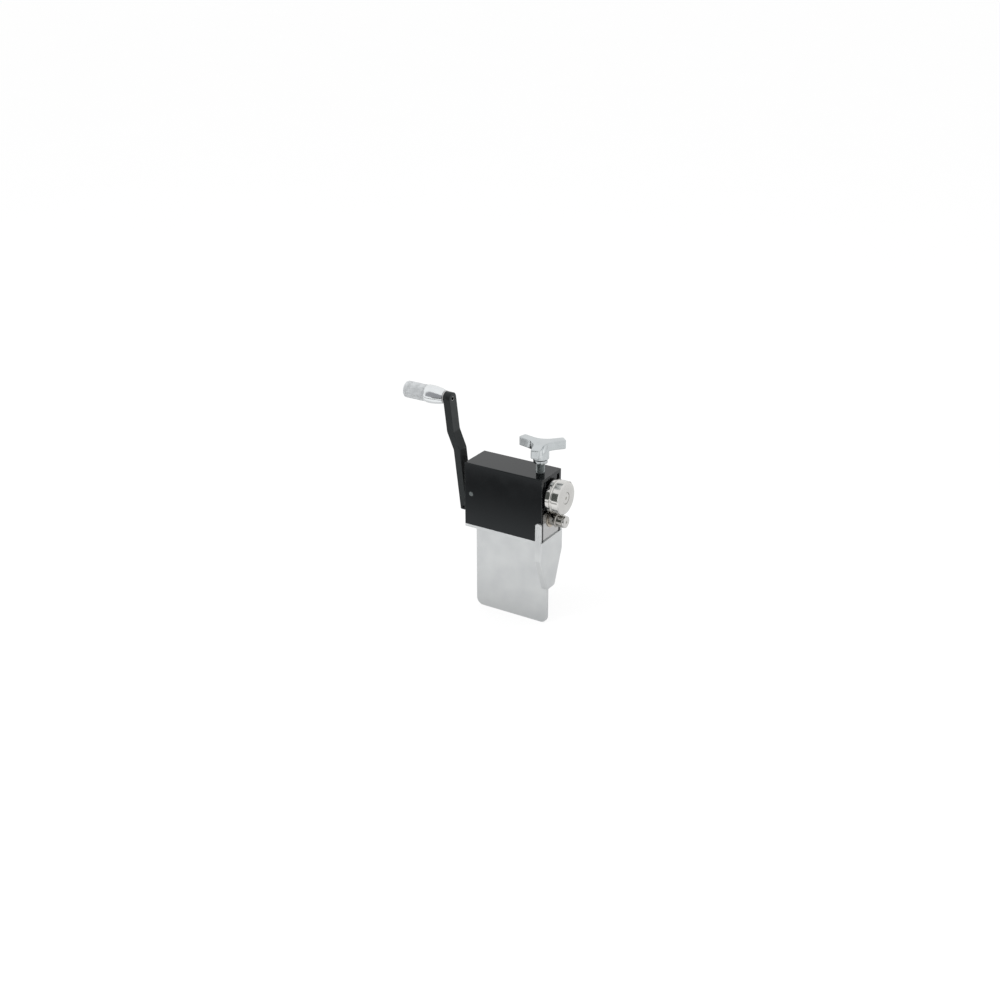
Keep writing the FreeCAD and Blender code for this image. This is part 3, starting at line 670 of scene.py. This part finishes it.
class BEADROLLER_OT_shaft(bpy.types.Operator):
    """Finish the drive shaft, its collar and its thrust washer"""
    bl_idname = "beadroller.shaft"
    bl_label = "Drive shaft"

    def execute(self, context):
        for node in ("drive_shaft", "thrust_washer"):
            dress(node, shaft_metal("lower"))
        dress("shaft_collar", dark_screw_and_hole_shade())
        dress("collar_screw", dark_screw_and_hole_shade(), edge=0)
        return {"FINISHED"}


def bead_line():
    """X of the ridge's crest on the lower die."""
    points = [v.co for v in frame["nodes"]["lower_die"].data.vertices]
    crest = max((p - LOWER_AXIS).yz.length for p in points)
    on_crest = [p.x for p in points if (p - LOWER_AXIS).yz.length > crest - HAIR]
    return sum(on_crest) / len(on_crest)


def make_die(node, axis, radius, chamfer, bead_width, bead_rise, body, material, steps=14):
    """Turn a die from its solid's own box and bore, with a bead line that is raised or sunk."""
    low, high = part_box(node)
    bore = inner_radius(node, axis)
    middle = bead_line()
    bead = []
    for i in range(steps + 1):
        across = -1 + 2 * i / steps
        bead.append((middle + bead_width / 2 * across, radius + bead_rise * (1 - across ** 2) ** 0.5))
    rear = [(low.x, bore), (low.x, radius - chamfer), (low.x + chamfer, radius)]
    front = [(high.x - chamfer, radius), (high.x, radius - chamfer), (high.x, bore)]
    soft = sizes().edge_round
    name = node + "_turned"
    mesh = turned_mesh(name, round_corners(rear, soft) + bead + round_corners(front, soft), axis,
                       2 * ROUND_SEGMENTS)
    return new_piece(name, mesh, body, material, (node,))


class BEADROLLER_OT_lower_die(bpy.types.Operator):
    """Turn the lower die with its ridge, and finish its cap screw"""
    bl_idname = "beadroller.lower_die"
    bl_label = "Lower die"

    def execute(self, context):
        size = sizes()
        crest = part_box("lower_die")[1].z - LOWER_AXIS.z
        make_die("lower_die", LOWER_AXIS, crest - size.ridge_height, size.small_chamfer,
                 size.ridge_width, size.ridge_height, "crank", die_metal("lower"))
        dress("lower_die_screw", die_metal("cap"))
        return {"FINISHED"}


class BEADROLLER_OT_upper_die(bpy.types.Operator):
    """Turn the upper die with its groove, and finish its bushing and cap screw"""
    bl_idname = "beadroller.upper_die"
    bl_label = "Upper die"

    def execute(self, context):
        size = sizes()
        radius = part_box("upper_die")[1].z - UPPER_AXIS.z
        make_die("upper_die", UPPER_AXIS, radius, size.die_chamfer,
                 size.groove_width, -size.groove_depth, "upper_roller", die_metal("upper"))
        dress("upper_die_bushing", bronze_metal("upper"), edge=0)
        dress("upper_die_screw", die_metal("upper"))
        return {"FINISHED"}


class BEADROLLER_OT_swing_arm(bpy.types.Operator):
    """Finish the swing arm, its axle and its pivot pin"""
    bl_idname = "beadroller.swing_arm"
    bl_label = "Swing arm"

    def execute(self, context):
        dress("swing_arm", gloss_black())
        dress("upper_axle", shaft_metal("upper"), edge=0)
        dress("pivot_pin", oiled_metal("pin"))
        return {"FINISHED"}


def thread_radius(turns, crest, depth):
    """Radius of a 60 degree thread at a number of pitches along it, with flat crest and root."""
    crest_share, flank_share = 0.12, 0.68
    phase = abs(turns % 1.0 - 0.5) * 2
    return crest - depth * min(1.0, max(0.0, (phase - crest_share) / flank_share))


def threaded_mesh(name, axis, crest, depth, pitch, low, high, segments=56, steps=10):
    """Threaded rod along Z that runs out to its root at both ends."""
    made = bmesh.new()
    rows = math.ceil((high - low) / pitch * steps)
    rings = []
    for k in range(rows + 1):
        z = low + (high - low) * k / rows
        fade = min(1.0, (z - low) / pitch, (high - z) / pitch)
        points = []
        for i in range(segments):
            turn = i / segments
            radius = thread_radius((z - low) / pitch - turn, crest, depth)
            points.append(around_z(axis, z, (crest - depth) * (1 - fade) + radius * fade, turn))
        rings.append(ring(made, points))
    return closed_rod(name, made, rings)


def rod_mesh(name, axis, radius, low, high, segments=48):
    """Plain rod along Z with broken edges."""
    made = bmesh.new()
    soft = sizes().edge_round
    outline = ((radius - soft, low), (radius, low + soft), (radius, high - soft), (radius - soft, high))
    rings = [ring(made, [around_z(axis, z, r, i / segments) for i in range(segments)])
             for r, z in outline]
    return closed_rod(name, made, rings)


class BEADROLLER_OT_screw(bpy.types.Operator):
    """Cut the adjusting screw's thread, and finish its nut and thrust pad"""
    bl_idname = "beadroller.screw"
    bl_label = "Adjusting screw"

    def execute(self, context):
        size = sizes()
        low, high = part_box("adjusting_screw")
        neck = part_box("thrust_pad")[1].z + size.tip_length
        crest = high.x - SCREW_AXIS.x
        thread = threaded_mesh("screw_thread", SCREW_AXIS, crest, size.thread_depth, size.thread_pitch,
                               neck, high.z)
        new_piece("adjusting_screw_cut", thread, "screw", oiled_metal("stud"),
                  ("adjusting_screw",))
        thread.set_sharp_from_angle(angle=THREAD_ANGLE)
        tip = rod_mesh("screw_tip", SCREW_AXIS, crest * size.tip_share, low.z, neck + LAP)
        new_piece("adjusting_screw_tip", tip, "screw", oiled_metal("stud"))
        dress("screw_nut", plated_screw())
        dress("thrust_pad", spring_wire(), edge=0)
        return {"FINISHED"}


class BEADROLLER_OT_knob(bpy.types.Operator):
    """Finish the three-arm knob"""
    bl_idname = "beadroller.knob"
    bl_label = "Knob"

    def execute(self, context):
        dress("knob", cast_knob())
        return {"FINISHED"}


class BEADROLLER_OT_crank_arm(bpy.types.Operator):
    """Finish the crank arm and its pinch screw"""
    bl_idname = "beadroller.crank_arm"
    bl_label = "Crank arm"

    def execute(self, context):
        dress("crank_arm", satin_black(), edge=sizes().arm_round)
        dress("crank_clamp_screw", dark_screw_and_hole_shade(), edge=0)
        return {"FINISHED"}


def diamond(turn, along, diamonds, pitch):
    """Height share of a diamond knurl, 1 on its flat peaks and 0 in the grooves."""
    steepness = 2.2
    heights = []
    for way in (-1, 1):
        phase = (turn * diamonds + way * along / pitch) % 1.0
        heights.append(1 - abs(phase - 0.5) * 2)
    return min(1.0, steepness * min(heights))


def grip_outline(pitch, cells):
    """Closed run of (x, radius, knurl depth) round the grip's wall, from its outer rim.

    The knurled cylinder comes first, then a step, the polished barrel and its rounded neck at the
    crank arm, and back through the bore and the well.
    """
    size = sizes()
    outer, inner = (corner.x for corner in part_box("grip_sleeve"))
    barrel = grip_radius()
    knurl = barrel - size.barrel_swell
    knurl_end = outer + size.knurl_length
    rim = size.grip_rim
    run = [(outer + rim * (1 - math.sin(bend)), knurl - rim * (1 - math.cos(bend)), 0.0)
           for bend in reversed(quarter_turn(6))]
    steps = math.ceil((knurl_end - outer - 2 * rim) / (pitch / cells))
    for i in range(1, steps + 1):
        along = (knurl_end - rim * 0.6 - outer - rim) * i / steps
        run.append((outer + rim + along, knurl, size.knurl_depth * min(1.0, along / size.knurl_run_in)))
    root = knurl - size.knurl_depth
    run += [(knurl_end - rim * 0.3, root, 0.0), (knurl_end, root, 0.0)]
    run += [(knurl_end + size.barrel_step + size.barrel_shoulder * (1 - math.cos(bend)),
             knurl + size.barrel_swell * math.sin(bend), 0.0) for bend in quarter_turn(8)]
    arc = (size.barrel_taper ** 2 + size.barrel_drop ** 2) / (2 * size.barrel_drop)
    steps = 24
    for i in range(steps + 1):
        along = size.barrel_taper * i / steps
        radius = barrel - arc + math.sqrt(arc ** 2 - along ** 2)
        run.append((inner - size.barrel_taper + along, radius, 0.0))
    bore = inner_radius("grip_sleeve", GRIP_AXIS)
    well, floor, cut = knurl - size.grip_wall, outer + size.grip_well, size.grip_chamfer
    run += [(x, radius, 0.0) for x, radius in (
        (inner, bore + cut), (inner - cut, bore), (floor, bore), (floor, well), (outer + cut, well),
        (outer, well + cut))]
    return run


def grip_radius():
    """Radius of the barrel, a hair inside its solid."""
    solid = frame["nodes"]["grip_sleeve"].data.vertices
    return max((v.co - GRIP_AXIS).yz.length for v in solid) - HAIR


def grip_mesh():
    """The grip's outline turned about its axis, with the knurl cut into its outer part."""
    cells = 6
    diamonds = sizes().knurl_count
    pitch = FULL_TURN * (grip_radius() - sizes().barrel_swell) / diamonds
    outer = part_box("grip_sleeve")[0].x
    turns = [i / (diamonds * cells) for i in range(diamonds * cells)]
    made = bmesh.new()
    rings = []
    for x, radius, depth in grip_outline(pitch, cells):
        cuts = [depth and depth * (1 - diamond(turn, x - outer, diamonds, pitch)) for turn in turns]
        rings.append(ring(made, [around_x(GRIP_AXIS, x, radius - cut, turn)
                                 for turn, cut in zip(turns, cuts)]))
    skin(made, rings + rings[:1])
    return to_mesh("grip_sleeve_knurled", made)


def spindle_mesh():
    """Shoulder screw through the grip, with a socket in its head and a drilled threaded end."""
    size = sizes()
    low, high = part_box("grip_spindle")
    head = (high.z - low.z) / 2
    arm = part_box("grip_washer")[1].x
    under_head = low.x + size.spindle_head
    socket, socket_floor, socket_cone = 3.0 * MM, low.x + 1.6 * MM, 0.4 * MM
    drill, drill_floor, drill_cone = size.spindle_drill, high.x - 8.0 * MM, 1.0 * MM
    points = [(socket_floor + socket_cone, CORE), (socket_floor, socket), (low.x, socket), (low.x, head),
              (under_head, head),
              (under_head, size.spindle_neck), (arm, size.spindle_neck), (arm, size.spindle_thread),
              (high.x, size.spindle_thread), (high.x, drill), (drill_floor, drill),
              (drill_floor - drill_cone, CORE)]
    return turned_mesh("grip_spindle_turned", round_corners(points, size.edge_round), GRIP_AXIS, 64)


def repaint(mesh, material, chosen):
    """Put a second material on the faces that a test chooses by their centre."""
    mesh.materials.append(material)
    for face in mesh.polygons:
        if chosen(face.center):
            face.material_index = 1


class BEADROLLER_OT_grip(bpy.types.Operator):
    """Knurl and polish the grip, turn its spindle and finish its washer"""
    bl_idname = "beadroller.grip"
    bl_label = "Grip"

    def execute(self, context):
        size = sizes()
        sleeve = grip_mesh()
        new_piece("grip_sleeve_knurled", sleeve, "grip", grip_metal(), ("grip_sleeve",))
        knurl_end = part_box("grip_sleeve")[0].x + size.knurl_length
        repaint(sleeve, knurled_metal(), lambda middle: middle.x < knurl_end)
        spindle = spindle_mesh()
        new_piece("grip_spindle_turned", spindle, "crank", shaft_metal("grip"),
                  ("grip_spindle",))
        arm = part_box("grip_washer")[1].x
        # The faces inside the drilled hole get the dark steel: painted shade in the hole
        repaint(spindle, dark_screw_and_hole_shade(), lambda middle: middle.x > arm
                and (middle - GRIP_AXIS).yz.length < size.spindle_drill + 5 * HAIR)
        dress("grip_washer", shaft_metal("grip"))
        return {"FINISHED"}


def spring_mesh(name, centre, low, high, radius, wire, steps=40, sides=10):
    """Helical wire with one closer turn at each end."""
    turns, close_pitch = 4, 1.3 * MM
    open_pitch = (high - low - 2 * wire - 2 * close_pitch) / (turns - 2)
    made = bmesh.new()
    rings = []
    for k in range(turns * steps + 1):
        turn = k / steps
        open_turns = max(0.0, min(turn, turns - 1) - 1)
        close_turns = min(turn, 1.0) + max(0.0, turn - (turns - 1))
        rise = close_pitch * close_turns + open_pitch * open_turns
        outward = Vector((math.cos(FULL_TURN * turn), math.sin(FULL_TURN * turn), 0))
        middle = centre + outward * radius + Vector((0, 0, low + wire + rise))
        rings.append(ring(made, [middle + outward * wire * math.cos(FULL_TURN * s / sides)
                                 + Vector((0, 0, wire * math.sin(FULL_TURN * s / sides)))
                                 for s in range(sides)]))
    return closed_rod(name, made, rings)


class BEADROLLER_OT_springs(bpy.types.Operator):
    """Wind the two return springs under the swing arm"""
    bl_idname = "beadroller.springs"
    bl_label = "Return springs"

    def execute(self, context):
        low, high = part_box("return_springs")
        wire = sizes().wire_radius
        radius = (high.x - low.x) / 2 - wire
        from_middle = (high.y - low.y) / 2 - radius - wire
        for side, name in ((-1, "front"), (1, "rear")):
            centre = Vector(((low.x + high.x) / 2, side * from_middle, 0))
            mesh = spring_mesh("spring_" + name, centre, low.z, high.z, radius, wire)
            replaced = ("return_springs",) if name == "front" else ()
            piece = new_piece("return_spring_" + name, mesh, "frame", spring_wire(),
                              replaced)
            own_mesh(piece)
        return {"FINISHED"}


class BEADROLLER_OT_screws(bpy.types.Operator):
    """Finish the screws of the bearing blocks"""
    bl_idname = "beadroller.screws"
    bl_label = "Block screws"

    def execute(self, context):
        dress("base_screws", plated_screw())
        dress("block_screws", dark_screw_and_hole_shade(), edge=0)
        return {"FINISHED"}


# Stage, light and camera

def plain_light(name, position, energy):
    """Round lamp aimed at the part, not seen in gloss."""
    aim = Vector((0, 0, 0.17))
    lamp = bpy.data.lights.new(name, "AREA")
    lamp.shape = "DISK"
    lamp.size = 1.4
    lamp.energy = energy
    made = add_object(name, lamp)
    made.location = position
    made.rotation_euler = (aim - Vector(position)).to_track_quat("-Z", "Y").to_euler()
    made.visible_glossy = False


def flat_disc(name, radius, segments=96):
    made = bmesh.new()
    made.faces.new(ring(made, [around_z(Vector(), 0, radius, i / segments) for i in range(segments)]))
    return to_mesh(name, made)


def floor_bands():
    """Light of the floor in gloss, by the distance before the part: (metres along -Y, level)."""
    look = stage()
    return ((-1.2, 0.25), (-0.75, 1.0), (-0.56, 1.0),
            (-0.46, look.floor_behind), (-0.12, look.floor_behind),
            # The band right under the part, at floor_near, is dimmer: painted shadow under the part, as
            # gloss sees the floor
            (-0.04, look.floor_near), (0.01, look.floor_near),
            (0.21, look.floor_bright), (0.28, look.floor_bright), (0.34, 0.4),
            (0.4, look.floor_dim), (0.455, look.floor_dim), (0.48, look.floor_far))


def banded_light(paint):
    """Brightness of the floor's bands at each place, as a field."""
    behind, reach = 1.6, 2.4
    bands = floor_bands()
    ramp = paint.node("ValToRGB")
    elements = ramp.color_ramp.elements
    while len(elements) < len(bands):
        elements.new(0.5)
    for element, (before, level) in zip(elements, bands):
        element.position = (before + behind) / reach
        element.color = (level, level, level, 1.0)
    split = paint.node("SeparateXYZ")
    paint.link(paint.place, split.inputs[0])
    before = paint.maths("SUBTRACT", behind, split.outputs["Y"])
    paint.link(paint.maths("DIVIDE", before, reach), ramp.inputs[0])
    return ramp.outputs[0]


def floor_material():
    """Pale floor, white to the camera with a soft shadow, and in soft bands of light for gloss."""
    look = stage()
    paint = Paint("pale_floor", look.floor, roughness=0.8, metallic=0.0)
    paint.shader.inputs["Specular IOR Level"].default_value = 0.1
    paint.vary_colour(paint.grain(3, detail=1.0), 0.99)
    glow = paint.node("Emission", {"Color": (1, 1, 1, 1)})
    ray = paint.node("LightPath")
    glossy = ray.outputs["Is Glossy Ray"]
    plain = paint.maths("MULTIPLY", paint.maths("SUBTRACT", 1.0, glossy), look.floor_white)
    bands = paint.maths("MULTIPLY", banded_light(paint), look.floor_gloss)
    in_gloss = paint.maths("MULTIPLY", bands, glossy)
    paint.link(paint.maths("ADD", plain, in_gloss), glow.inputs["Strength"])
    shown = paint.maths("MAXIMUM", ray.outputs["Is Camera Ray"], glossy)
    mix = paint.node("MixShader")
    paint.link(paint.maths("MULTIPLY", shown, look.floor_glow), mix.inputs[0])
    paint.link(paint.shader.outputs[0], mix.inputs[1])
    paint.link(glow.outputs[0], mix.inputs[2])
    paint.link(mix.outputs[0], paint.tree.nodes["Material Output"].inputs["Surface"])
    return paint.material


def card_material(name, tone):
    """Even glow in one tone."""
    made = bpy.data.materials.new(name)
    made.use_nodes = True
    tree = made.node_tree
    tree.nodes.clear()
    glow = add_node(tree, "Emission", {"Color": (*tone, 1.0)})
    tree.links.new(glow.outputs[0], add_node(tree, "OutputMaterial").inputs["Surface"])
    return made


def make_card(name, tone, azimuth, distance, reach, rise):
    """Upright card that only gloss reflects, facing the part from an azimuth, from -Y towards -X.

    Reach is its two ends along it, towards -X, and rise its two edges in height.
    """
    made = bmesh.new()
    outward = Vector((-math.sin(azimuth), -math.cos(azimuth), 0))
    along = Vector((outward.y, -outward.x, 0))
    corners = [outward * distance + along * reach[i] + Vector((0, 0, rise[j]))
               for i, j in ((0, 0), (1, 0), (1, 1), (0, 1))]
    made.faces.new(ring(made, corners))
    mesh = to_mesh(name, made)
    mesh.materials.append(card_material(name, tone))
    card = add_object(name, mesh)
    for ray in ("camera", "diffuse", "shadow", "transmission"):
        setattr(card, "visible_" + ray, False)


def make_world():
    """White behind everything that is seen directly or in gloss, and plain sky light for the rest."""
    world = bpy.data.worlds.new("plain_studio")
    bpy.context.scene.world = world
    world.use_nodes = True
    tree = world.node_tree
    tree.nodes.clear()
    ray = add_node(tree, "LightPath")
    shown = ray.outputs["Is Camera Ray"]
    for way in ("Is Glossy Ray", "Is Transmission Ray"):
        either = add_node(tree, "Math", operation="MAXIMUM")
        tree.links.new(shown, either.inputs[0])
        tree.links.new(ray.outputs[way], either.inputs[1])
        shown = either.outputs[0]
    sky = add_node(tree, "Background", {"Color": (1, 1, 1, 1), "Strength": stage().sky})
    white = add_node(tree, "Background", {"Color": (1, 1, 1, 1), "Strength": 1.0})
    mix = add_node(tree, "MixShader")
    tree.links.new(shown, mix.inputs[0])
    tree.links.new(sky.outputs[0], mix.inputs[1])
    tree.links.new(white.outputs[0], mix.inputs[2])
    tree.links.new(mix.outputs[0], add_node(tree, "OutputWorld").inputs["Surface"])


class BEADROLLER_OT_stage(bpy.types.Operator):
    """Lay the pale floor and set up soft, plain light"""
    bl_idname = "beadroller.stage"
    bl_label = "Stage"

    def execute(self, context):
        look = stage()
        context.scene.view_settings.view_transform = "Standard"
        mesh = flat_disc("floor", look.floor_radius)
        mesh.materials.append(floor_material())
        add_object("floor", mesh)
        plain_light("key", look.key_place, look.key_power)
        plain_light("fill", look.fill_place, look.fill_power)
        turn = look.camera_turn
        make_card("card_dies", look.dark_card, turn, look.card_distance, (-0.6, 0.0), (0.09, 0.6))
        make_card("card_grip", look.pale_card, turn, look.near_distance, (-0.03, 0.084), (0.285, 0.425))
        make_card("card_hub", look.white_card, -math.pi / 2, look.side_distance, (-0.25, 0.1), (0.03, 0.2))
        make_world()
        return {"FINISHED"}


class BEADROLLER_OT_camera(bpy.types.Operator):
    """Stand the camera where the reference view has it"""
    bl_idname = "beadroller.camera"
    bl_label = "Camera"

    def execute(self, context):
        lens = bpy.data.cameras.new("camera")
        lens.sensor_width = 36.0
        lens.lens = stage().focal
        camera = add_object("camera", lens)
        camera.location = stage().camera_place
        camera.rotation_euler = (math.pi / 2 - stage().camera_tilt, 0.0, stage().camera_turn)
        context.scene.camera = camera
        return {"FINISHED"}


PIECE_OPERATORS = (
    BEADROLLER_OT_bracket, BEADROLLER_OT_housing, BEADROLLER_OT_bearings, BEADROLLER_OT_shaft,
    BEADROLLER_OT_lower_die, BEADROLLER_OT_upper_die, BEADROLLER_OT_swing_arm, BEADROLLER_OT_screw,
    BEADROLLER_OT_knob, BEADROLLER_OT_crank_arm, BEADROLLER_OT_grip, BEADROLLER_OT_springs,
    BEADROLLER_OT_screws,
)
STAGE_OPERATORS = (BEADROLLER_OT_camera, BEADROLLER_OT_stage)


class BEADROLLER_PT_panel(bpy.types.Panel):
    """Buttons and settings of the bead roller"""
    bl_label = "Bead Roller"
    bl_idname = "BEADROLLER_PT_panel"
    bl_space_type = "VIEW_3D"
    bl_region_type = "UI"
    bl_category = "Bead Roller"

    def draw(self, context):
        layout = self.layout
        for operator in STAGE_OPERATORS + PIECE_OPERATORS:
            layout.operator(operator.bl_idname)
        for group in (sizes(), finish(), stage()):
            box = layout.box()
            for name in group.bl_rna.properties.keys():
                if name not in ("rna_type", "name"):
                    box.prop(group, name)


SETTINGS = {"bead_roller_sizes": BeadRollerSizes, "bead_roller_finish": BeadRollerFinish,
            "bead_roller_stage": BeadRollerStage}
CLASSES = (*SETTINGS.values(), *STAGE_OPERATORS, *PIECE_OPERATORS, BEADROLLER_PT_panel)


def register():
    for cls in CLASSES:
        bpy.utils.register_class(cls)
    for name, group in SETTINGS.items():
        setattr(bpy.types.Scene, name, PointerProperty(type=group))


def unregister():
    for name in SETTINGS:
        delattr(bpy.types.Scene, name)
    for cls in reversed(CLASSES):
        bpy.utils.unregister_class(cls)


def main():
    register()
    for operator in STAGE_OPERATORS + PIECE_OPERATORS:
        group, name = operator.bl_idname.split(".")
        getattr(getattr(bpy.ops, group), name)()


if __name__ == "__main__":
    main()
